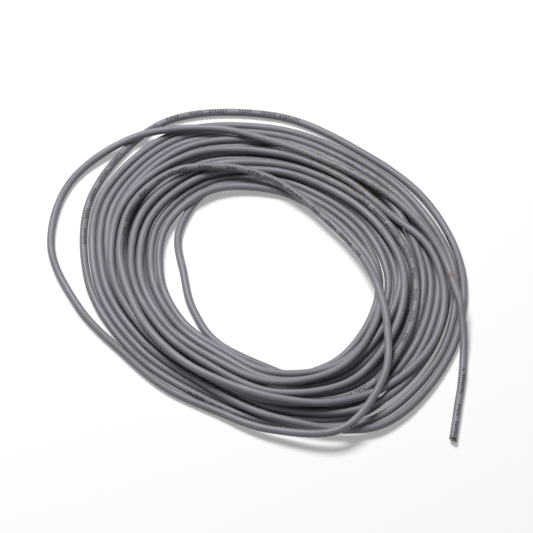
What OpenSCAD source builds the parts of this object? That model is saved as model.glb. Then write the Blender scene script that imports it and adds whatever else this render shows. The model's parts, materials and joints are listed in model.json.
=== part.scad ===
// Hand-wound coil of round two-core flexible cable, lying flat, millimetres.
// Angles run anticlockwise seen from above, and the cable is followed from its cut end inwards.

/* [Cable] */
// Outside diameter of the sheath
cable_d = 5.7; // [4.8:0.1:6.4]
// Diameter of each insulated core
core_d = 2.05; // [1.6:0.05:2.1]
// Diameter of the stranded conductor in each core
conductor_d = 1.15; // [0.8:0.05:1.4]
// Clearance between a layer and the bore that holds it, on the diameter
layer_clearance = 0.04; // [0.02:0.01:0.1]
// Sheath left between the two cores
core_web = 0.1; // [0.06:0.01:0.2]

/* [Cut end] */
// Length of the straight cut end, along its axis
end_length = 30; // [15:1:40]
// Slant of the cut across the end
cut_slant = 25; // [0:1:35]
// Turn of the slant about the cable's axis, from its shortest side underneath to the left
cut_roll = 40; // [0:5:90]
// Turn of the pair of cores about the cable's axis, from one above the other
core_turn = 75; // [0:5:90]

/* [Winding] */
// From the middle of the coil to the innermost floor turn on the right; all turns lie out from it
hole_half_width = 72; // [64:1:90]
// Whole turns in the level that lies on the floor, and in the level above it
floor_turns = 6; // [4:1:6]
// Whole turns in the third level
top_turns = 3; // [2:1:3]
// Height left free between two levels
level_gap = 0.2; // [0.15:0.05:0.6]
// How far the third level leans outwards on the near side, in lanes
near_lean = 0.6; // [0:0.1:0.8]
// How far the turns of the two lower levels lean outwards on the right, in lanes
right_lean = 0.45; // [0:0.05:0.5]
// Slow wander of the wound turns, as a share of the slack between two lanes
wander = 0.4; // [0:0.05:0.4]

/* [Loose turns] */
// How far the outermost turn stands off on the far side
far_bulge = 11; // [0:1:14]
// How far the innermost turn cuts into the hole on the left
inner_loop = 22; // [0:1:24]
// How far the outermost turn stands off at the near right
near_bulge = 7; // [0:1:8]

/* [Hidden] */
$fn = 48;

sheath_grey = [0.47, 0.47, 0.51];
core_black = [0.06, 0.06, 0.07];
copper = [0.72, 0.42, 0.26];

cable_r = cable_d / 2;
core_offset = (core_d + core_web) / 2;

// The winding is laid out at stations, one every 30 degrees
full_turn = 360;
station_step = 30;
stations_per_turn = full_turn / station_step;
// Reach of the innermost floor lane beyond the hole's half width, from +X round
hole_shape = [0, -1, 1, 9, 18, 18, 11, 6, 3, 11.5, 11, 3];
// Slack between two neighbouring lanes at the same places
lane_slack = [4.4, 3.8, 3.4, 3.8, 4.5, 4.1, 2.5, 0.7, 0.6, 1.4, 3.8, 4.1];

// Where the loose turns end and each level starts, in degrees along the winding
top_start = 1110;
middle_start = top_start + full_turn * top_turns;
floor_start = middle_start + full_turn * floor_turns;
// The floor level stops part of the way round its last turn
last_turn = floor_start + full_turn * floor_turns;
hidden_arc = 214;
hidden_end = last_turn + hidden_arc;
// Lanes are counted from the hole, and a turn changes lane on the near side
top_change_at = 300;
middle_change_at = 240;
floor_change_at = 200;
lane_change_span = 90;
top_outer_lane = 3.5;
floor_outer_lane = floor_turns + 0.5;
// Where the third level draws in, and where the cable comes down from one level to the next
top_draw_in = [middle_start - 60, middle_start];
middle_descent = [middle_start - 60, middle_start + 30];
floor_descent = [floor_start - 105, floor_start - 40];

// Stand-offs of single turns: middle, in degrees along the winding, and half width
far_bulge_at = [floor_start + 80, 46];
near_bulge_at = [floor_start - 78, 45];
second_bulge_at = [floor_start + full_turn - 60, 62];
third_bulge_at = [floor_start + 2 * full_turn - 88, 30];
third_bulge_share = 0.4;
inner_loop_at = [last_turn + 147, 75];
// Lesser stand-off where the far bulge comes back to the coil
side_bulge = 2.5;
side_bulge_at = [floor_start + 116, 30];
// Lean of each turn in the third level: angle and half width
near_lean_at = [235, 100];
// Leans of two turns of the second level, in lanes, and their middles and half widths
left_lean = 0.3;
left_lean_at = [middle_start + 110, 75];
cover_lean = 0.65;
cover_lean_at = [floor_start - full_turn - 40, 75];
// Where the two lower levels lean outwards most, and waves of the wander in a degree
right_lean_at = 345;
wander_rate = 0.61;

// Straight cut end: its tip, beyond the hole's half width both ways, and the way that it points
tip = [hole_half_width + 55.5, -hole_half_width - 67];
heading = 261;
heading_dir = [cos(heading), sin(heading), 0];

// Tail from the straight end to the coil: how far beyond the hole's half width to the right and to the
// near side, and level
tail_points = [
    [63, 21, 0],
    [65, 3, 0.2],
    [66, -16, 1],
    [65, -34, 2]
];

// The last two turns, which lie loose on top: reach beyond the hole's half width and level, every 20
// degrees from 350
loose_start = 350;
loose_step = 20;
loose_points = [
    [65, 2.6], [51, 2.9], [40, 3], [34, 3.1], [35, 3.1], [45, 3.1], [67, 2.6], [91, 1.4], [103, 0.3],
    [95, 0], [72, 0], [54, 0], [49, 0.1], [48, 0.5], [60, 1.5], [72, 2.8], [51, 3.3], [23, 3.2],
    [5, 3], [-5, 2.6], [-10, 2.3], [-10, 2.2], [-3, 2.3], [10, 2.7], [26, 3.1], [43, 3.1], [48, 3],
    [43, 3], [36, 3], [33, 3], [32, 3], [33, 3], [40, 3.1], [50, 2.8], [56, 2.1], [59, 2],
    [55, 2], [45, 2]
];

// Sweep: corners of a ring, and rings in each stretch between two stations
ring_sides = 8;
rings_per_stretch = 3;

// Height of the cable's axis in a level
function level_z(level) = cable_r + level * (cable_d + level_gap);

// Point at an angle, a reach and a level
function polar(angle, reach, level) = [reach * cos(angle), reach * sin(angle), level_z(level)];

// Rounded hump, 1 at its middle and 0 beyond its half width
function hump(angle, place) =
    let (away = abs(angle - place[0]))
    away < place[1] ? pow(cos(90 * away / place[1]), 2) : 0;

// The same place in the first turn
function first_turn(angle) = angle % full_turn;

// Straight change from one value to another over a span of angle
function ramp(angle, from, to, a, b) = a + (b - a) * min(1, max(0, (angle - from) / (to - from)));

// Value at an angle out of a table that holds one for each station of a turn
function round_table(table, angle) =
    let (place = first_turn(angle) / station_step, i = floor(place), t = place - i)
    table[i] * (1 - t) + table[(i + 1) % stations_per_turn] * t;

// Lane changes made up to an angle, each eased over its span
function lane_changes(angle, change_at) =
    let (turns = (angle - change_at) / full_turn)
    let (t = min(1, (turns - floor(turns)) * full_turn / lane_change_span))
    floor(turns) + t * t * (3 - 2 * t);

// Lane in the third level, stepping inwards, in the second, outwards, and on the floor, inwards again
function top_lane(angle) =
    top_outer_lane - lane_changes(angle, top_change_at) + lane_changes(top_start, top_change_at)
    - ramp(angle, top_draw_in[0], top_draw_in[1], 0, top_outer_lane - top_turns)
    + near_lean * hump(first_turn(angle), near_lean_at);
function middle_lane(angle) =
    lane_changes(angle, middle_change_at) - lane_changes(middle_start, middle_change_at)
    + left_lean * hump(angle, left_lean_at)
    + cover_lean * hump(angle, cover_lean_at)
    + ramp(angle, floor_descent[0], floor_descent[1], 0, floor_outer_lane - floor_turns);
function floor_lane(angle) =
    floor_outer_lane - lane_changes(angle, floor_change_at) + lane_changes(floor_start, floor_change_at);

// Lean outwards on the right, nothing at the hole and at the outermost lane and most between them
function leaning(lane, angle) =
    let (share = 4 * lane * (floor_outer_lane - lane) / floor_outer_lane ^ 2)
    lane + right_lean * share * max(0, cos(angle - right_lean_at)) ^ 2;
function lane_at(angle) =
    angle < middle_start ? top_lane(angle)
    : leaning(angle < floor_start ? middle_lane(angle) : floor_lane(angle), angle);

function level_at(angle) =
    ramp(angle, middle_descent[0], middle_descent[1], 2, 1)
    - ramp(angle, floor_descent[0], floor_descent[1], 0, 1);

// Stand-offs of the outermost turns on the far side and at the near right, and of the innermost
function stand_off(angle) =
    far_bulge * hump(angle, far_bulge_at)
    + side_bulge * hump(angle, side_bulge_at)
    + near_bulge * (hump(angle, near_bulge_at) + hump(angle, second_bulge_at))
    + near_bulge * third_bulge_share * hump(angle, third_bulge_at)
    - inner_loop * hump(angle, inner_loop_at);

function wound_station(angle) =
    let (slack = round_table(lane_slack, angle))
    let (hole_reach = hole_half_width + round_table(hole_shape, angle))
    let (lane_reach = lane_at(angle) * (cable_d + slack))
    let (drift = wander * slack * sin(wander_rate * angle))
    polar(angle, hole_reach + lane_reach + stand_off(angle) + drift, level_at(angle));

// Stations in order, from the straight end to the end that is hidden under the coil
end_start = [tip.x, tip.y, cable_r] - end_length * heading_dir;
stations = concat(
    [end_start],
    [for (p = tail_points) [hole_half_width + p.x, -hole_half_width - p.y, level_z(p.z)]],
    [for (i = [0 : len(loose_points) - 1])
        let (p = loose_points[i])
        polar(loose_start + i * loose_step, hole_half_width + p.x, p.y)],
    [for (angle = [top_start : station_step : hidden_end - station_step / 2]) wound_station(angle)],
    [wound_station(hidden_end)]
);
last_station = len(stations) - 1;

// Smooth curve through the stations, and the way that it runs at either end
function before(i) = i > 0 ? stations[i - 1] : stations[0] + heading_dir * norm(stations[1] - stations[0]);
function after(i) = i < last_station ? stations[i + 1] : 2 * stations[i] - stations[i - 1];
function slope(i) = (after(i) - before(i)) / 2;
function curve(i, t) =
    (2 * t ^ 3 - 3 * t ^ 2 + 1) * stations[i] + (t ^ 3 - 2 * t ^ 2 + t) * slope(i)
    + (3 * t ^ 2 - 2 * t ^ 3) * stations[i + 1] + (t ^ 3 - t ^ 2) * slope(i + 1);
route = concat(
    [for (i = [0 : last_station - 1], k = [0 : rings_per_stretch - 1])
        let (p = curve(i, k / rings_per_stretch))
        [p.x, p.y, max(p.z, cable_r)]],
    [stations[last_station]]
);
last_ring = len(route) - 1;

// The origin is under the middle of the box that the whole cable fills
tip_reach = [tip.x, tip.y, cable_r] + heading_dir * cable_r * tan(cut_slant);
box_x = concat([for (p = route) p.x], [tip_reach.x]);
box_y = concat([for (p = route) p.y], [tip_reach.y + cable_r]);
box_middle = [(min(box_x) + max(box_x)) / 2, (min(box_y) + max(box_y)) / 2, 0];

function unit(v) = v / norm(v);
function run_at(i) =
    i == 0 ? -heading_dir : unit(route[min(i + 1, last_ring)] - route[i - 1]);
function ring(i) =
    let (run = run_at(i), side = unit(cross([0, 0, 1], run)), up = cross(run, side))
    [for (k = [0 : ring_sides - 1])
        let (a = full_turn * k / ring_sides)
        route[i] + cable_r * (cos(a) * side + sin(a) * up)];

// Tube swept along the route, closed with a flat face at each end
module swept_tube() {
    corners = [for (i = [0 : last_ring]) each ring(i)];
    walls = [for (i = [0 : last_ring - 1], k = [0 : ring_sides - 1])
        let (a = i * ring_sides + k, b = i * ring_sides + (k + 1) % ring_sides)
        each [[a, a + ring_sides, b], [b, a + ring_sides, b + ring_sides]]];
    first_face = [for (k = [0 : ring_sides - 1]) k];
    last_face = [for (k = [ring_sides - 1 : -1 : 0]) last_ring * ring_sides + k];
    polyhedron(corners, concat(walls, [first_face, last_face]));
}

// Sets a piece drawn along +Z onto the straight end, foot on the coil and top at the tip
module on_end() {
    translate(end_start)
        rotate([0, 90, heading])
            rotate(core_turn)
                children();
}

// Moves a layer of a core from the cable's axis to its own
module beside_axis(side) {
    translate([side * core_offset, 0, 0])
        children();
}

// Round bar of the straight end, with the slanted cut at its top
module cut_bar(d, side = 0) {
    over = cable_d * (1 + tan(cut_slant));
    difference() {
        beside_axis(side)
            cylinder(d = d, h = end_length + over);
        translate([0, 0, end_length])
            rotate(-core_turn - cut_roll)
                rotate([0, cut_slant, 0])
                    translate([-over, -over, 0])
                        cube(2 * over);
    }
}

// Hole through the straight end for a layer of the given diameter
module layer_bore(d, side) {
    beside_axis(side)
        translate([0, 0, -cable_d])
            cylinder(d = d + layer_clearance, h = end_length + 3 * cable_d);
}

// The long run of the cable, solid inside where nothing opens it
module cable_coil() {
    color(sheath_grey)
        translate(-box_middle)
            swept_tube();
}

// Sheath of the straight end, with a bore for each core
module sheath_end() {
    color(sheath_grey)
        translate(-box_middle)
            on_end()
                difference() {
                    cut_bar(cable_d);
                    layer_bore(core_d, -1);
                    layer_bore(core_d, 1);
                }
}

// Insulation of one core, a tube cut off with the sheath
module core(side) {
    color(core_black)
        translate(-box_middle)
            on_end()
                difference() {
                    cut_bar(core_d, side);
                    layer_bore(conductor_d, side);
                }
}

// Stranded conductor of one core
module conductor(side) {
    color(copper)
        translate(-box_middle)
            on_end()
                cut_bar(conductor_d, side);
}

module core_1() {
    core(-1);
}

module core_2() {
    core(1);
}

module conductor_1() {
    conductor(-1);
}

module conductor_2() {
    conductor(1);
}

cable_coil();
sheath_end();
core_1();
core_2();
conductor_1();
conductor_2();
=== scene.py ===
import json
import math

import bpy
import numpy as np
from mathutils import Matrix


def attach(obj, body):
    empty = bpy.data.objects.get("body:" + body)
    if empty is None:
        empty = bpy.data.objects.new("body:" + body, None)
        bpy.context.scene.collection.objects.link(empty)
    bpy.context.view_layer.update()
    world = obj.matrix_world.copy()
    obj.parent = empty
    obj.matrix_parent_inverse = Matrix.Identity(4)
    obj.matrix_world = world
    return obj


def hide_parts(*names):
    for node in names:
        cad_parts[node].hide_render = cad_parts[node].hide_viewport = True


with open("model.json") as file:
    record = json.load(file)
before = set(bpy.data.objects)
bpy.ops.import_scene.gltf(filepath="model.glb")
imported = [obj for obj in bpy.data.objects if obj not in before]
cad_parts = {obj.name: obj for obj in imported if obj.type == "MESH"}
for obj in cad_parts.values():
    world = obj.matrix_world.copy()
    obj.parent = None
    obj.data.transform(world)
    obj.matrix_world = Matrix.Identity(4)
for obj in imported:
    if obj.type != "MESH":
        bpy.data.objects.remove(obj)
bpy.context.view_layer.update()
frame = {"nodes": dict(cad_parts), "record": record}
mm = 0.001
scene = bpy.context.scene
scene.view_settings.view_transform = "Standard"
print("frame loaded")


# Camera at the photo's angle, looking along +Y and down; aim is the point that the photo's middle shows
photo = {
    "pixels": 533,
    "pixelSize": 0.74 * mm,
    "distance": 2.2,
    "elevation": 56.0,
    "aim": (7.6 * mm, 4.6 * mm, 0.0),
}


def makeCamera():
    tilt = math.radians(photo["elevation"])
    camera = bpy.data.cameras.new("photoCamera")
    camera.lens = camera.sensor_width * photo["distance"] / (photo["pixels"] * photo["pixelSize"])
    holder = bpy.data.objects.new("photoCamera", camera)
    aim = np.array(photo["aim"])
    holder.location = aim + photo["distance"] * np.array([0, -math.cos(tilt), math.sin(tilt)])
    holder.rotation_euler = (math.pi / 2 - tilt, 0, 0)
    scene.collection.objects.link(holder)
    scene.camera = holder


makeCamera()
print("camera set")


# The cable: its section, and the route that it was wound on, in millimetres and degrees.
# Angles run anticlockwise from +X about the coil's middle, and on along the winding turn by turn.
cable = {
    "diameter": 5.7,
    "coreDiameter": 2.05,
    "coreWeb": 0.1,
    "coreTurn": 75,
    "boreClearance": 0.04,
    "levelGap": 0.2,
    "holeHalfWidth": 72,               # reaches are counted from here
    "tip": (55.5, 67),                 # cut end: beyond the half width to the right and to the near side
    "heading": 261,
    "endLength": 30,
    "cutSlant": 25,
    "cutRoll": 40,
    "tailPoints": [                    # the same two ways, and level
        (63, 21, 0), (65, 3, 0.2), (66, -16, 1), (65, -34, 2)],
    "looseStart": 350,                 # the loose turns on top: reach and level every looseStep
    "looseStep": 20,
    "loosePoints": [
        (65, 2.6), (51, 2.9), (40, 3), (34, 3.1), (35, 3.1), (45, 3.1), (67, 2.6), (91, 1.4), (103, 0.3),
        (95, 0), (72, 0), (54, 0), (49, 0.1), (48, 0.5), (60, 1.5), (72, 2.8), (51, 3.3), (23, 3.2),
        (5, 3), (-5, 2.6), (-10, 2.3), (-10, 2.2), (-3, 2.3), (10, 2.7), (26, 3.1), (43, 3.1), (48, 3),
        (43, 3), (36, 3), (33, 3), (32, 3), (33, 3), (40, 3.1), (50, 2.8), (56, 2.1), (59, 2),
        (55, 2), (45, 2)],
    "pointsPerStretch": 24,
    "stationStep": 30,                 # the wound turns: reach of the first lane, and slack between lanes
    "holeShape": [0, -1, 1, 9, 18, 18, 11, 6, 3, 11.5, 11, 3],
    "laneSlack": [4.4, 3.8, 3.4, 3.8, 4.5, 4.1, 2.5, 0.7, 0.6, 1.4, 3.8, 4.1],
    "topStart": 1110,                  # where the top level starts, and how many turns the levels have
    "topTurns": 3,
    "floorTurns": 6,
    "hiddenArc": 250,
    "topOuterLane": 3.5,
    "topChangeAt": 300,                # where the turns of a level change lanes, and over how many degrees
    "middleChangeAt": 240,
    "floorChangeAt": 200,
    "changeSpan": 90,
    "topDown": (-60, 30),              # where the top level goes down, from the second level's start
    "middleDown": (-105, -40),         # where the second level goes down, from the floor's start
    "nearLean": 0.6,                   # lanes that turns lean outwards; a place is its middle and half width
    "nearLeanPlace": (235, 100),
    "leftLean": 0.3,
    "leftLeanPlace": (110, 75),        # from the second level's start
    "coverLean": 0.65,
    "coverLeanPlace": (-400, 75),      # from the floor's start
    "rightLean": 0.45,
    "rightLeanAt": 345,
    "farBulge": 11,                    # how far single turns stand off, at places from the floor's start
    "farBulgePlace": (80, 46),
    "sideBulge": 2.5,
    "sideBulgePlace": (116, 30),
    "nearBulge": 7,
    "nearBulgePlaces": [(-78, 45), (300, 62), (632, 30)],
    "thirdBulgeShare": 0.4,
    "innerLoop": 22,                   # how far the last turn cuts across the hole, from that turn's start
    "innerLoopPlace": (147, 75),
    "tuck": 18,                        # how far the hidden end runs outwards under the near side
    "tuckFrom": 205,
    "wander": 0.4,                     # slow wander, a share of the slack, and its waves in a turn
    "wanderRate": 0.61,
    "crowd": 0.45,                     # how far the outer turns crowd outwards at the far left, in lanes
    "crowdLanes": (5, 1.4),
    "crowdPlace": (128, 50),
    "tangle": 0.7,                     # quicker wander, in two waves, of turns that lie between others
    "tangleRates": (0.87, 1.93),
    "tangleAhead": 200,                # degrees that the second wave is ahead
}

# How the cable settles under its own weight
settling = {
    "nodeStep": 3.0,       # distance between points along the cable
    "rounds": 260,
    "sink": 0.3,           # fall in the first round, and the share of it that is lost by the last
    "slowing": 0.6,
    "layHeight": 45.0,     # the turns are laid down one by one: height from which the last one falls
    "tailEase": 60,        # points from the straight end over which that height is reached
    "endClear": 1.3,       # diameters that the rest starts above the hidden end, so that it falls on that end
    "endPoints": 50,       # points of the hidden end, and points over which the rest rises
    "endEase": 25,
    "heldPoints": 10,      # points next to the straight end that stay in place
    "spread": 7,           # stiffness: points over which a change is spread
    "keep": 0.995,         # share of a sideways change that a round keeps
    "pushes": 4,           # pushes in a round, and their strength
    "pushShare": 1.5,
    "searchEvery": 10,     # rounds between searches for near pairs, and how far those may be apart
    "searchMargin": 1.6,
    "ownStretch": 3.2,     # diameters along the cable within which it doesn't push itself
    "slide": 0.6,          # share of a step by which a pair may lie off each other along the cable
}

# The swept sheath: sides of a ring, how the twisted cores show through it, and its marked side
sheath = {
    "sides": 16,
    "oval": 0.012,
    "markedSway": 0.02,  # turns by which the marked side sways, and how quickly along
    "markedSwayRate": 9,
    "coreLay": 62.0,     # length in which the cores twist once round
    "marked": [          # how the marked side turns: metres along, turns from the left over the top
        (0, 0.3), (0.12, 0.3), (0.35, 0.75), (0.75, 0.75), (0.98, 0.15), (1.25, 0.15), (1.55, -0.25),
        (1.9, -0.25), (2.15, 0.2), (2.4, 0.2), (2.7, -0.25), (7.4, -0.25), (7.75, 0.21), (8.05, 0.2),
        (8.4, 0.75), (12.5, 0.75)],
}

# The bare wires of a conductor
wires = {
    "count": 24,
    "diameter": 0.18,
    "bundleDiameter": 1.12,
    "lay": 24.0,         # length in which they twist once round
    "ragged": 0.22,      # how far the longest stand out of the cut, and how unlike neighbours are
    "raggedRate": 5.3,
    "sides": 8,
    "rings": 24,
}


def hump(angle, middle, half):  # cosine squared, 1 at its middle and 0 beyond its half width
    away = np.minimum(np.abs(angle - middle), half)
    return np.cos(math.pi / 2 * away / half) ** 2


def ramp(angle, start, stop, low, high):
    return low + (high - low) * np.clip((angle - start) / (stop - start), 0, 1)


def laneChanges(angle, changeAt):  # whole turns since changeAt, each step eased over changeSpan
    turns = (angle - changeAt) / 360
    t = np.minimum(1, (turns - np.floor(turns)) * 360 / cable["changeSpan"])
    return np.floor(turns) + t * t * (3 - 2 * t)


def levelHeight(level):
    return cable["diameter"] / 2 + np.asarray(level) * (cable["diameter"] + cable["levelGap"])


def polar(angle, reach, level):
    turn = np.radians(angle)
    return np.stack([reach * np.cos(turn), reach * np.sin(turn), levelHeight(level)], 1)


# Stations of the wound turns: a reach is the hole's own, plus the lane times the lane's width, plus what
# single turns stand off, plus a slow and a quicker wander within the slack
def woundStations():
    c = cable
    middleStart = c["topStart"] + 360 * c["topTurns"]
    floorStart = middleStart + 360 * c["floorTurns"]
    lastTurn = floorStart + 360 * c["floorTurns"]
    hiddenEnd = lastTurn + c["hiddenArc"]
    outerLane = c["floorTurns"] + 0.5
    angle = np.append(np.arange(c["topStart"], hiddenEnd - c["stationStep"] / 2, c["stationStep"]), hiddenEnd)
    ring = angle % 360
    fromMiddle = angle - middleStart
    fromFloor = angle - floorStart
    fromLast = angle - lastTurn
    topLane = (c["topOuterLane"] - laneChanges(angle, c["topChangeAt"])
               + laneChanges(c["topStart"], c["topChangeAt"])
               - ramp(fromMiddle, c["topDown"][0], 0, 0, c["topOuterLane"] - c["topTurns"])
               + c["nearLean"] * hump(ring, *c["nearLeanPlace"]))
    middleLane = (laneChanges(angle, c["middleChangeAt"]) - laneChanges(middleStart, c["middleChangeAt"])
                  + c["leftLean"] * hump(fromMiddle, *c["leftLeanPlace"])
                  + c["coverLean"] * hump(fromFloor, *c["coverLeanPlace"])
                  + ramp(fromFloor, *c["middleDown"], 0, 0.5))
    floorLane = (outerLane - laneChanges(angle, c["floorChangeAt"])
                 + laneChanges(floorStart, c["floorChangeAt"]))
    lower = np.where(angle < floorStart, middleLane, floorLane)
    atRight = np.maximum(0, np.cos(np.radians(angle - c["rightLeanAt"]))) ** 2
    lean = 4 * lower * (outerLane - lower) / outerLane ** 2 * atRight
    lane = np.where(angle < middleStart, topLane, lower + c["rightLean"] * lean)
    lane = lane + c["crowd"] * hump(lane, *c["crowdLanes"]) * hump(ring, *c["crowdPlace"])
    level = ramp(fromMiddle, *c["topDown"], 2, 1) - ramp(fromFloor, *c["middleDown"], 0, 1)
    firstNear, secondNear, thirdNear = [hump(fromFloor, *place) for place in c["nearBulgePlaces"]]
    nearBulges = firstNear + secondNear + c["thirdBulgeShare"] * thirdNear
    standOff = (c["farBulge"] * hump(fromFloor, *c["farBulgePlace"])
                + c["sideBulge"] * hump(fromFloor, *c["sideBulgePlace"])
                + c["nearBulge"] * nearBulges - c["innerLoop"] * hump(fromLast, *c["innerLoopPlace"])
                + ramp(fromLast, c["tuckFrom"], c["hiddenArc"], 0, c["tuck"]))
    ringAngle = c["stationStep"] * np.arange(len(c["holeShape"]) + 1)
    hole = c["holeHalfWidth"] + np.interp(ring, ringAngle, c["holeShape"] + c["holeShape"][:1])
    slack = np.interp(ring, ringAngle, c["laneSlack"] + c["laneSlack"][:1])
    drift = c["wander"] * slack * np.sin(np.radians(c["wanderRate"] * angle))
    between = np.clip(4 * lane * (outerLane - lane) / outerLane ** 2, 0, 1)
    first, second = c["tangleRates"]
    quick = np.sin(np.radians(first * angle)) + np.sin(np.radians(second * angle + c["tangleAhead"]))
    drift += c["tangle"] * slack * between * quick
    return polar(angle, hole + lane * (c["diameter"] + slack) + standOff + drift, level)


# Smooth line: a cubic in each stretch, whose slope at a station is half the step from the station before
# to the one after
def smoothLine(stations, firstSlope, perStretch):
    before = stations[0] + firstSlope * np.linalg.norm(stations[1] - stations[0])
    padded = np.concatenate([[before], stations, [2 * stations[-1] - stations[-2]]])
    slope = (padded[2:] - padded[:-2]) / 2
    t = (np.arange(perStretch) / perStretch)[None, :, None]
    line = ((2 * t ** 3 - 3 * t ** 2 + 1) * stations[:-1, None] + (t ** 3 - 2 * t ** 2 + t) * slope[:-1, None]
            + (3 * t ** 2 - 2 * t ** 3) * stations[1:, None] + (t ** 3 - t ** 2) * slope[1:, None])
    return np.concatenate([line.reshape(-1, 3), stations[-1:]])


def evenSteps(line, step):
    along = np.concatenate([[0], np.cumsum(np.linalg.norm(np.diff(line, axis=0), axis=1))])
    count = int(round(along[-1] / step))
    places = np.linspace(0, along[-1], count + 1)
    return np.stack([np.interp(places, along, line[:, axis]) for axis in range(3)], 1)


def nearPairs(points, reach, skip):  # pairs of points within reach, more than skip places apart
    firsts, seconds = [], []
    for start in range(0, len(points), 500):
        offset = points[start:start + 500, None] - points[None]
        i, j = np.nonzero((offset ** 2).sum(2) < reach ** 2)
        apart = j > i + start + skip
        firsts.append(i[apart] + start)
        seconds.append(j[apart])
    return np.concatenate(firsts), np.concatenate(seconds)


# The turns fall, push each other apart by half of what they lack of a diameter each, stop on the floor, and
# each change of the line is spread along it by a bell-shaped average, which is the cable's stiffness
def settle(line):
    s = settling
    d = cable["diameter"]
    slide = s["slide"] * s["nodeStep"]
    reach = 3 * s["spread"]
    bell = np.exp(-0.5 * (np.arange(-reach, reach + 1) / s["spread"]) ** 2)
    bell /= bell.sum()
    chosen = line.copy()
    count = len(line)
    place = np.arange(count)
    offEnd = np.clip(place[::-1] / s["endEase"] - s["endPoints"] / s["endEase"], 0, 1)
    lift = s["layHeight"] * np.linspace(1, 0, count) + s["endClear"] * d * offEnd
    line[:, 2] += lift * np.clip(place / s["tailEase"], 0, 1) ** 2
    for k in range(s["rounds"]):
        if k % s["searchEvery"] == 0:
            ownPoints = int(s["ownStretch"] * d / s["nodeStep"])
            i, j = nearPairs(line.astype(np.float32), d + s["searchMargin"], ownPoints)
            i, j = np.concatenate([i, j]), np.concatenate([j, i])
        line[:, 2] -= s["sink"] * (1 - s["slowing"] * k / s["rounds"])
        for _ in range(s["pushes"]):
            run = np.gradient(line, axis=0)
            run /= np.linalg.norm(run, axis=1, keepdims=True)
            apart = line[i] - line[j]
            along = np.clip((apart * run[j]).sum(1), -slide, slide)
            apart -= along[:, None] * run[j]
            gap = np.linalg.norm(apart, axis=1)
            hit = gap < d
            a, b = i[hit], j[hit]
            push = apart[hit] * (0.5 * (d - gap[hit]) / gap[hit])[:, None]
            moved = np.stack([np.bincount(a, push[:, x], count) - np.bincount(b, push[:, x], count)
                              for x in range(3)], 1)
            hits = np.bincount(a, minlength=count) + np.bincount(b, minlength=count)
            line += s["pushShare"] * moved / np.maximum(1, hits)[:, None]
            line[:, 2] = np.maximum(line[:, 2], d / 2)
        change = np.pad(line - chosen, ((reach, reach), (0, 0)), mode="edge")
        spread = np.stack([np.convolve(change[:, x], bell, "valid") for x in range(3)], 1)
        line = chosen + spread * (s["keep"], s["keep"], 1)
        line[:, 2] = np.maximum(line[:, 2], d / 2)
        line[:s["heldPoints"]] = chosen[:s["heldPoints"]]
    return line


# The straight end on the route's axes: its tip, the way it points, and the way across to the left
turn = math.radians(cable["heading"])
heading = np.array([math.cos(turn), math.sin(turn), 0])
across = np.cross(heading, (0, 0, 1))
upward = np.array([0, 0, 1.0])
tip = np.array([cable["holeHalfWidth"] + cable["tip"][0], -cable["holeHalfWidth"] - cable["tip"][1],
                cable["diameter"] / 2])
foot = tip - cable["endLength"] * heading


# From millimetres on the route's axes to metres in the part's frame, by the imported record's mount
def toPart(points):
    return points * mm + np.array(frame["record"]["mounts"][0]["pos_m"]) - (tip + foot) / 2 * mm


# Point of the slanted cut at an offset from the axis; the cut's short side is below and to the left
def atCut(offset):
    roll = math.radians(cable["cutRoll"])
    shortSide = math.sin(roll) * across - math.cos(roll) * upward
    back = offset @ shortSide * math.tan(math.radians(cable["cutSlant"]))
    return tip + offset - back[..., None] * heading


# Line of the whole cable, from the cut end's tip inwards
def cableLine():
    c = cable
    tail = np.array(c["tailPoints"], float)
    tail = np.stack([c["holeHalfWidth"] + tail[:, 0], -c["holeHalfWidth"] - tail[:, 1],
                     levelHeight(tail[:, 2])], 1)
    loose = np.array(c["loosePoints"], float)
    looseAngle = c["looseStart"] + c["looseStep"] * np.arange(len(loose))
    looseTurns = polar(looseAngle, c["holeHalfWidth"] + loose[:, 0], loose[:, 1])
    stations = np.concatenate([[foot], tail, looseTurns, woundStations()])
    line = smoothLine(stations, heading, c["pointsPerStretch"])
    line[:, 2] = np.maximum(line[:, 2], c["diameter"] / 2)
    line = evenSteps(line, settling["nodeStep"])
    line = settle(line)
    straight = np.linspace(tip, foot, int(c["endLength"] / settling["nodeStep"]) + 1)[:-1]
    return np.concatenate([straight, line])


def newPiece(name, points, faces, flatFaces):  # the last flatFaces faces are shaded flat
    mesh = bpy.data.meshes.new(name)
    mesh.from_pydata(points.tolist(), [], faces)
    mesh.polygons.foreach_set("use_smooth", np.arange(len(faces)) < len(faces) - flatFaces)
    mesh.update()
    piece = bpy.data.objects.new(name, mesh)
    scene.collection.objects.link(piece)
    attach(piece, "root")
    return piece


# Walls between rings: first is the number of the first corner, each ring has sides corners
def wallFaces(first, rings, sides):
    i, k = np.meshgrid(np.arange(rings - 1), np.arange(sides), indexing="ij")
    corner = first + i * sides
    after = (k + 1) % sides
    faces = np.stack([corner + k, corner + after, corner + sides + after, corner + sides + k], 2)
    return faces.reshape(-1, 4)


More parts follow.
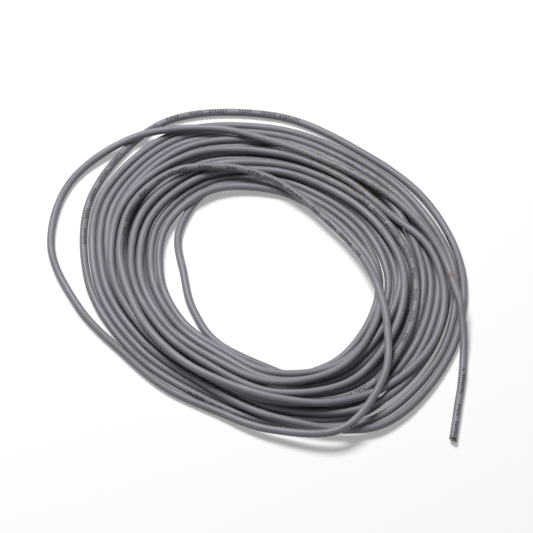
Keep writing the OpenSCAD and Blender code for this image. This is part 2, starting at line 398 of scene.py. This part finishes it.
# Tube: rings of a slightly oval profile carried along the line, the oval turning with the cores. The cut
# end is a finer ring on the slanted plane. Its face is two halves: in each, spokes run from the half's edge
# to the rim of a core's bore, which goes back the length of the straight end.
def makeCable():
    line = toPart(cableLine())
    count, sides = len(line), sheath["sides"]
    radius = cable["diameter"] / 2
    along = np.concatenate([[0], np.cumsum(np.linalg.norm(np.diff(line, axis=0), axis=1))])
    run = np.gradient(line, axis=0)
    run /= np.linalg.norm(run, axis=1, keepdims=True)
    side = np.cross(upward, run)
    side /= np.linalg.norm(side, axis=1, keepdims=True)
    up = np.cross(run, side)
    split = math.radians(180 - cable["coreTurn"])          # the line between the two cores
    angle = split + 2 * math.pi * np.arange(sides) / sides
    lay = 2 * math.pi * along / (sheath["coreLay"] * mm)
    reach = radius * mm * (1 + sheath["oval"] * (np.cos(2 * (angle[None] - lay[:, None])) - 1))
    out = np.cos(angle)[None, :, None] * side[:, None] + np.sin(angle)[None, :, None] * up[:, None]
    rings = (line[:, None] + reach[:, :, None] * out)[1:]
    # cut end, in offsets from the axis: edge, line between the halves, bore rims
    fine = 2 * sides
    fineAngle = split + 2 * math.pi * np.arange(fine) / fine
    fineReach = radius * (1 + sheath["oval"] * (np.cos(2 * fineAngle) - 1))
    edge = fineReach[:, None] * (np.cos(fineAngle)[:, None] * across + np.sin(fineAngle)[:, None] * upward)
    share = (np.arange(1, sides) / sides)[:, None]
    middle = edge[sides] * (1 - share) + edge[0] * share
    pair = math.cos(split + math.pi / 2) * across + math.sin(split + math.pi / 2) * upward
    coreOffset = (cable["coreDiameter"] + cable["coreWeb"]) / 2
    bore = (cable["coreDiameter"] + cable["boreClearance"]) / 2
    firstMiddle = fine + (count - 1) * sides
    firstRim = firstMiddle + sides - 1
    flat = np.concatenate([edge, middle])
    corners = np.concatenate([np.arange(fine), firstMiddle + np.arange(sides - 1)])
    ends = np.concatenate([np.arange(fine), [0]])
    back = fine + np.arange(sides - 1)
    points = [toPart(atCut(edge)), rings.reshape(-1, 3), toPart(atCut(middle))]
    spokes, boreWalls, bottoms = [], [], []
    for half, loop in enumerate([np.append(ends[:sides + 1], back), np.append(ends[sides:], back[::-1])]):
        middleOfCore = (1 - 2 * half) * coreOffset * pair
        spoke = flat[loop] - middleOfCore
        rim = middleOfCore + bore * spoke / np.linalg.norm(spoke, axis=1, keepdims=True)
        points += [toPart(atCut(rim)), toPart(foot + rim)]
        first = firstRim + 2 * fine * half
        k = np.arange(fine)
        after = (k + 1) % fine
        outer = corners[loop]
        spokes.append(np.stack([outer, first + k, first + after, outer[after]], 1))
        boreWalls.append(np.stack([first + k, first + fine + k, first + fine + after, first + after], 1))
        bottoms.append((first + fine + k[::-1]).tolist())
    k = np.arange(sides)
    after = (k + 1) % sides
    firstStrip = np.stack([2 * k, 2 * k + 1, (2 * k + 2) % fine, fine + after, fine + k], 1)
    walls = wallFaces(fine, count - 1, sides)
    lastFace = (fine + (count - 2) * sides + k).tolist()
    faces = (firstStrip.tolist() + walls.tolist() + np.concatenate(boreWalls).tolist()
             + np.concatenate(spokes).tolist() + bottoms + [lastFace])
    piece = newPiece("cable", np.concatenate(points), faces, 2 * fine + 3)
    # surface coordinates: metres along, and turns round from the marked side
    sway = sheath["markedSway"] * np.sin(sheath["markedSwayRate"] * along)
    marked = np.interp(along, *np.transpose(sheath["marked"])) + sway
    start = split / (2 * math.pi)
    v = start + k[:, None] / sides + np.array([0, 0.5, 1, 1, 0]) / sides - marked[[0, 0, 0, 1, 1]]
    u = np.tile(along[[0, 0, 0, 1, 1]], (sides, 1))
    i, k = np.meshgrid(np.arange(1, count - 1), k, indexing="ij")
    wallU = np.stack([along[i], along[i], along[i + 1], along[i + 1]], 2)
    wallV = start + np.stack([k / sides - marked[i], (k + 1) / sides - marked[i],
                              (k + 1) / sides - marked[i + 1], k / sides - marked[i + 1]], 2)
    coordinates = np.zeros((len(piece.data.loops), 2), np.float32)
    coordinates[:u.size + wallU.size, 0] = np.concatenate([u.ravel(), wallU.ravel()])
    coordinates[:v.size + wallV.size, 1] = np.concatenate([v.ravel(), wallV.ravel()])
    piece.data.uv_layers.new(name="alongAndRound").data.foreach_set("uv", coordinates.ravel())
    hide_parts("cable_coil", "sheath_end")
    print("cable", round(float(along[-1]), 3), "m,", len(faces), "faces")
    return piece, line, float(along[-1])


# Bundle of wires: on a spiral of golden turns, wire n lies at the radius of the bundle times the root of its
# share of the count, and all twist together about the core's axis
def makeConductor(name, side):
    w = wires
    n = np.arange(w["count"])
    spread = (w["bundleDiameter"] - w["diameter"]) / 2 * np.sqrt((n + 0.5) / w["count"])
    golden = math.pi * (3 - math.sqrt(5))
    split = math.radians(180 - cable["coreTurn"]) + math.pi / 2
    core = side * (cable["coreDiameter"] + cable["coreWeb"]) / 2 * (math.cos(split) * across
                                                                   + math.sin(split) * upward)
    t = np.linspace(0, 1, w["rings"])
    twist = golden * n[:, None] + 2 * math.pi * t * cable["endLength"] / w["lay"]
    outward = np.cos(twist)[..., None] * across + np.sin(twist)[..., None] * upward
    offset = core + spread[:, None, None] * outward
    first = atCut(offset[:, 0]) + (w["ragged"] * np.sin(w["raggedRate"] * n) ** 2)[:, None] * heading
    reach = (first - foot) @ heading
    centre = foot + offset + (reach[:, None] * (1 - t))[..., None] * heading
    turns = 2 * math.pi * np.arange(w["sides"]) / w["sides"]
    ring = w["diameter"] / 2 * (np.cos(turns)[:, None] * across + np.sin(turns)[:, None] * upward)
    points = toPart(centre[:, :, None] + ring).reshape(-1, 3)
    size = w["rings"] * w["sides"]
    walls = np.concatenate([wallFaces(k * size, w["rings"], w["sides"]) for k in n])
    k = np.arange(w["sides"])
    caps = np.concatenate([n[:, None] * size + k[::-1], n[:, None] * size + size - w["sides"] + k])
    return newPiece(name, points, walls.tolist() + caps.tolist(), len(caps))


cablePiece, cablePath, cableLength = makeCable()
wirePieces = [makeConductor("wires_1", -1), makeConductor("wires_2", 1)]
for number, piece in enumerate(wirePieces, 1):
    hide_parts("conductor_%d" % number)
corePieces = [frame["nodes"]["core_1"], frame["nodes"]["core_2"]]
print("cable and wires made")


# Shader nodes: an input is a plain value, or another node's output to link
def addNode(tree, kind, inputs=None, **settings):
    made = tree.nodes.new("ShaderNode" + kind)
    for name, value in settings.items():
        setattr(made, name, value)
    for name, value in (inputs or {}).items():
        if isinstance(value, bpy.types.NodeSocket):
            tree.links.new(value, made.inputs[name])
        else:
            made.inputs[name].default_value = value
    return made


def calc(tree, operation, a, b=0.0):
    return addNode(tree, "Math", {0: a, 1: b}, operation=operation).outputs[0]


def tint(tree, factor, a, b):
    return addNode(tree, "Mix", {0: factor, 6: a, 7: b}, data_type="RGBA").outputs[2]


def fade(tree, value, start, stop, low=0.0, high=1.0):  # eased from low at start to high at stop
    return addNode(tree, "MapRange", {"Value": value, "From Min": start, "From Max": stop, "To Min": low,
                                      "To Max": high}, interpolation_type="SMOOTHSTEP").outputs[0]


def stretched(tree, vector, scale):
    return addNode(tree, "VectorMath", {0: vector, 1: scale}, operation="MULTIPLY").outputs[0]


def newGroup(name, inputs, output):
    group = bpy.data.node_groups.new(name, "ShaderNodeTree")
    for socket, kind in inputs:
        group.interface.new_socket(socket, in_out="INPUT", socket_type="NodeSocket" + kind)
    group.interface.new_socket(output, in_out="OUTPUT", socket_type="NodeSocketFloat")
    return group, group.nodes.new("NodeGroupInput").outputs, group.nodes.new("NodeGroupOutput").inputs[0]


# Cloudy mask: 0 below Start and 1 above Stop of a noise
def makeGrime():
    group, given, mask = newGroup("grime", [("Vector", "Vector"), ("Scale", "Float"), ("Start", "Float"),
                                            ("Stop", "Float")], "Mask")
    cloud = addNode(group, "TexNoise", {"Vector": given["Vector"], "Scale": given["Scale"], "Detail": 4.0,
                                        "Roughness": 0.6})
    group.links.new(fade(group, cloud.outputs[0], given["Start"], given["Stop"]), mask)
    return group


# Fine unevenness of a drawn or moulded surface: slow waves with a fine grain on them
def makeGrain():
    group, given, height = newGroup("grain", [("Vector", "Vector"), ("Waves", "Float"), ("Grain", "Float")],
                                    "Height")
    waves = addNode(group, "TexNoise", {"Vector": given["Vector"], "Scale": given["Waves"], "Detail": 1.0})
    grain = addNode(group, "TexNoise", {"Vector": given["Vector"], "Scale": given["Grain"], "Detail": 2.0})
    both = addNode(group, "Math", {0: grain.outputs[0], 1: 0.25, 2: waves.outputs[0]},
                   operation="MULTIPLY_ADD")
    group.links.new(both.outputs[0], height)
    return group


grime = makeGrime()
grain = makeGrain()


def grimeMask(tree, vector, scale, start, stop):
    return addNode(tree, "Group", {"Vector": vector, "Scale": scale, "Start": start, "Stop": stop},
                   node_tree=grime).outputs[0]


def skinMask(tree, skin, mask):
    alongScale, scale, start, stop = mask
    return grimeMask(tree, stretched(tree, skin, (alongScale, 1, 1)), scale, start, stop)


def newMaterial(name):
    material = bpy.data.materials.new(name)
    material.use_nodes = True
    return material, material.node_tree, material.node_tree.nodes["Principled BSDF"]


def addBump(tree, shader, vector, waves, grainScale, distance):
    height = addNode(tree, "Group", {"Vector": vector, "Waves": waves, "Grain": grainScale}, node_tree=grain)
    bump = addNode(tree, "Bump", {"Strength": 0.6, "Distance": distance, "Height": height.outputs[0]})
    tree.links.new(bump.outputs[0], shader.inputs["Normal"])


def addGloss(tree, shader, mask, gloss):  # roughness where the mask is 0 and where it is 1
    rough = addNode(tree, "MapRange", {"Value": mask, "To Min": gloss[0], "To Max": gloss[1]}).outputs[0]
    tree.links.new(rough, shader.inputs["Roughness"])


# Grey sheath; lengths are in millimetres and places in metres. A mask is its stretch along the cable, its
# scale, and its start and stop. A bump is the scale of the waves and of the grain, and the height.
greyPlastic = {
    "light": (0.254, 0.252, 0.294, 1),
    "dark": (0.206, 0.203, 0.237, 1),
    "toneMask": (0.25, 0.06, 0.3, 0.7),
    "handled": (0.195, 0.178, 0.185, 1),      # brownish film where it was handled
    "handledMask": (0.2, 0.16, 0.42, 0.72),
    "handledShare": 0.6,
    "dirt": (0.135, 0.092, 0.048, 1),
    "streakMask": (0.05, 0.9, 0.63, 0.72),
    "streakShare": 0.4,
    "speckMask": (0.5, 0.55, 0.72, 0.76),
    "speckShare": 0.8,
    "scuffMask": (0.28, 0.75, 0.525, 0.585),
    "scuffShare": 0.95,
    "scuffPlace": (0.0735, 0.0795, 0.014),    # where the brown scuffs lie, how they run, and how far they go
    "scuffTurn": -33.0,
    "scuffSize": (0.058, 0.024, 0.03),
    "rust": (0.19, 0.085, 0.025, 1),
    "spotMask": (0.5, 0.7, 0.4, 0.5),
    "spotPlace": (0.1428, -0.0135, 0.0157),
    "spotSize": 0.0036,
    "ink": (0.018, 0.016, 0.018, 1),
    "tickPitch": 2.1,
    "tickGroup": 9.0,                         # places in a group, the least printed, and how many more
    "tickLeast": 3.5,
    "tickMore": 4.5,
    "tickRepeat": 398.5,
    "tickStretch": 0.62,
    "tickStart": 187.0,
    "tickShift": 0.06,                        # turns by which single ticks lie off the marked side
    "tickHalf": 0.9,                          # half the shortest tick's length, and what the longest has more
    "tickHalfMore": 0.55,
    "tickEdge": (0.38, 0.26),
    "tickEnd": (0.15, -0.1),
    "cutFilm": (0.9, 0.1, 0.0, 0.7),          # dirt next to the cut
    "gloss": (0.44, 0.56),
    "bump": (0.12, 2.5, 0.00012),
}


def chanceOf(tree, number):
    return addNode(tree, "TexWhiteNoise", {"W": number}, noise_dimensions="1D").outputs[0]


# Plain ticks in groups of uneven length, printed over a part of each repeat
def tickMask(tree, along, turns, vector):
    g = greyPlastic
    place = calc(tree, "DIVIDE", along, g["tickPitch"])
    tick = calc(tree, "FLOOR", place)
    inTick = calc(tree, "ABSOLUTE", calc(tree, "SUBTRACT", calc(tree, "FRACT", place), 0.5))
    group = calc(tree, "FLOOR", calc(tree, "DIVIDE", tick, g["tickGroup"]))
    inGroup = calc(tree, "SUBTRACT", tick, calc(tree, "MULTIPLY", group, g["tickGroup"]))
    more = calc(tree, "MULTIPLY", chanceOf(tree, group), g["tickMore"])
    printed = calc(tree, "LESS_THAN", inGroup, calc(tree, "ADD", more, g["tickLeast"]))
    fromStart = calc(tree, "ADD", along, g["tickStart"])
    repeat = calc(tree, "FRACT", calc(tree, "DIVIDE", fromStart, g["tickRepeat"]))
    printed = calc(tree, "MULTIPLY", printed, calc(tree, "LESS_THAN", repeat, g["tickStretch"]))
    shift = calc(tree, "MULTIPLY", chanceOf(tree, calc(tree, "ADD", tick, 0.5)), g["tickShift"])
    wrapped = calc(tree, "FRACT", calc(tree, "ADD", turns, shift))
    centred = calc(tree, "ADD", wrapped, 0.5 - g["tickShift"] / 2)
    wrapped = calc(tree, "SUBTRACT", calc(tree, "FRACT", centred), 0.5)
    away = calc(tree, "MULTIPLY", calc(tree, "ABSOLUTE", wrapped), math.pi * cable["diameter"])
    halfMore = calc(tree, "MULTIPLY", chanceOf(tree, tick), g["tickHalfMore"])
    over = calc(tree, "SUBTRACT", away, calc(tree, "ADD", halfMore, g["tickHalf"]))
    stroke = calc(tree, "MULTIPLY", fade(tree, inTick, *g["tickEdge"]), fade(tree, over, *g["tickEnd"]))
    wear = addNode(tree, "TexNoise", {"Vector": vector, "Scale": 1.1}).outputs[0]
    worn = fade(tree, wear, 0.3, 0.55, 0.75, 1.0)
    return calc(tree, "MULTIPLY", calc(tree, "MULTIPLY", stroke, printed), worn)


def makeGreyPlastic():
    g = greyPlastic
    material, tree, shader = newMaterial("greyPlastic")
    surface = addNode(tree, "UVMap", uv_map="alongAndRound")
    split = addNode(tree, "SeparateXYZ", {0: surface.outputs[0]})
    along = calc(tree, "MULTIPLY", split.outputs[0], 1000.0)
    turns = split.outputs[1]
    # round the cable without a seam: along, radius times cosine, radius times sine
    angle = calc(tree, "MULTIPLY", turns, 2 * math.pi)
    half = cable["diameter"] / 2
    cosinePart = calc(tree, "MULTIPLY", calc(tree, "COSINE", angle), half)
    sinePart = calc(tree, "MULTIPLY", calc(tree, "SINE", angle), half)
    skin = addNode(tree, "CombineXYZ", {0: along, 1: cosinePart, 2: sinePart}).outputs[0]
    place = addNode(tree, "TexCoord").outputs["Object"]
    colour = tint(tree, skinMask(tree, skin, g["toneMask"]), g["light"], g["dark"])
    handled = skinMask(tree, skin, g["handledMask"])
    colour = tint(tree, calc(tree, "MULTIPLY", handled, g["handledShare"]), colour, g["handled"])
    # long hairline streaks, and small specks
    streak = skinMask(tree, skin, g["streakMask"])
    colour = tint(tree, calc(tree, "MULTIPLY", streak, g["streakShare"]), colour, g["dirt"])
    speck = skinMask(tree, skin, g["speckMask"])
    colour = tint(tree, calc(tree, "MULTIPLY", speck, g["speckShare"]), colour, g["dirt"])
    # scuffs in one patch of the coil
    patch = addNode(tree, "Mapping", {"Vector": place, "Location": g["scuffPlace"], "Scale": g["scuffSize"],
                                      "Rotation": (0, 0, math.radians(g["scuffTurn"]))},
                    vector_type="TEXTURE")
    fromPatch = addNode(tree, "VectorMath", {0: patch.outputs[0]}, operation="LENGTH").outputs["Value"]
    scuff = calc(tree, "MULTIPLY", skinMask(tree, skin, g["scuffMask"]), fade(tree, fromPatch, 1.0, 0.5))
    colour = tint(tree, calc(tree, "MULTIPLY", scuff, g["scuffShare"]), colour, g["dirt"])
    fromSpot = addNode(tree, "VectorMath", {0: place, 1: g["spotPlace"]}, operation="DISTANCE")
    inSpot = fade(tree, fromSpot.outputs["Value"], g["spotSize"], 0.3 * g["spotSize"])
    spot = calc(tree, "MULTIPLY", inSpot, skinMask(tree, skin, g["spotMask"]))
    colour = tint(tree, spot, colour, g["rust"])
    colour = tint(tree, tickMask(tree, along, turns, skin), colour, g["ink"])
    colour = tint(tree, fade(tree, along, *g["cutFilm"]), colour, g["dirt"])
    tree.links.new(colour, shader.inputs["Base Color"])
    addGloss(tree, shader, handled, g["gloss"])
    addBump(tree, shader, skin, *g["bump"])
    return material


# One colour clouded by another, on the piece's own axes in millimetres
def makeClouded(name, looks):
    material, tree, shader = newMaterial(name)
    place = stretched(tree, addNode(tree, "TexCoord").outputs["Object"], (1000, 1000, 1000))
    cloud = grimeMask(tree, place, *looks["cloud"])
    tree.links.new(tint(tree, cloud, looks["clear"], looks["clouded"]), shader.inputs["Base Color"])
    addGloss(tree, shader, cloud, looks["gloss"])
    addBump(tree, shader, place, *looks["bump"])
    shader.inputs["Metallic"].default_value = looks["metallic"]
    return material


blackPlastic = {
    "clear": (0.012, 0.012, 0.013, 1),
    "clouded": (0.045, 0.04, 0.036, 1),    # dust
    "cloud": (1.4, 0.4, 0.75),
    "gloss": (0.38, 0.6),
    "bump": (0.6, 6.0, 0.00003),
    "metallic": 0.0,
}

copperWire = {
    "clear": (0.8, 0.42, 0.23, 1),
    "clouded": (0.4, 0.19, 0.09, 1),       # dulled
    "cloud": (2.2, 0.35, 0.7),
    "gloss": (0.25, 0.5),
    "bump": (3.0, 14.0, 0.00001),
    "metallic": 1.0,
}


def finish(pieces, material):
    for piece in pieces:
        piece.data.materials.clear()
        piece.data.materials.append(material)


finish([cablePiece], makeGreyPlastic())
finish(corePieces, makeClouded("blackPlastic", blackPlastic))
finish(wirePieces, makeClouded("copperWire", copperWire))
print("materials made")


# Floor, light and background
studio = {
    "floorRadius": 9,
    "floorSides": 96,
    "floorColour": (0.8, 0.8, 0.8, 1),
    "floorLift": 0.3,
    "worldStrength": 0.09,
    "keyPower": 58.0,
    "keySize": 0.9,
    "keyPlace": (-0.55, 1.0, 2.2),
}


def seenRays(tree, low, high):  # low for light on the object, high for what the camera and reflections see
    path = addNode(tree, "LightPath").outputs
    seen = calc(tree, "MAXIMUM", path["Is Camera Ray"], path["Is Glossy Ray"])
    seen = calc(tree, "MAXIMUM", seen, path["Is Transmission Ray"])
    return addNode(tree, "MapRange", {"Value": seen, "To Min": low, "To Max": high}).outputs[0]


def makeStudio():
    bpy.ops.mesh.primitive_circle_add(vertices=studio["floorSides"], radius=studio["floorRadius"],
                                      fill_type="NGON")
    floor = bpy.context.object
    floor.name = "floor"
    material, tree, shader = newMaterial("floorPaper")
    tree.nodes.remove(shader)
    paper = addNode(tree, "BsdfDiffuse", {"Color": studio["floorColour"]})
    glow = addNode(tree, "Emission", {"Strength": seenRays(tree, 0.0, studio["floorLift"])})
    both = addNode(tree, "AddShader", {0: paper.outputs[0], 1: glow.outputs[0]})
    tree.links.new(both.outputs[0], tree.nodes["Material Output"].inputs["Surface"])
    floor.data.materials.append(material)
    world = bpy.data.worlds.new("studioWorld")
    world.use_nodes = True
    scene.world = world
    sky = world.node_tree.nodes["Background"]
    sky.inputs["Color"].default_value = (1, 1, 1, 1)
    world.node_tree.links.new(seenRays(world.node_tree, studio["worldStrength"], 1.0), sky.inputs["Strength"])
    lamp = bpy.data.lights.new("keyLight", "AREA")
    lamp.energy = studio["keyPower"]
    lamp.size = studio["keySize"]
    holder = bpy.data.objects.new("keyLight", lamp)
    holder.location = studio["keyPlace"]
    toMiddle = -np.array(studio["keyPlace"])
    holder.rotation_euler = (math.acos(-toMiddle[2] / np.linalg.norm(toMiddle)), 0,
                             math.atan2(toMiddle[1], toMiddle[0]) - math.pi / 2)
    scene.collection.objects.link(holder)


makeStudio()
print("studio set")
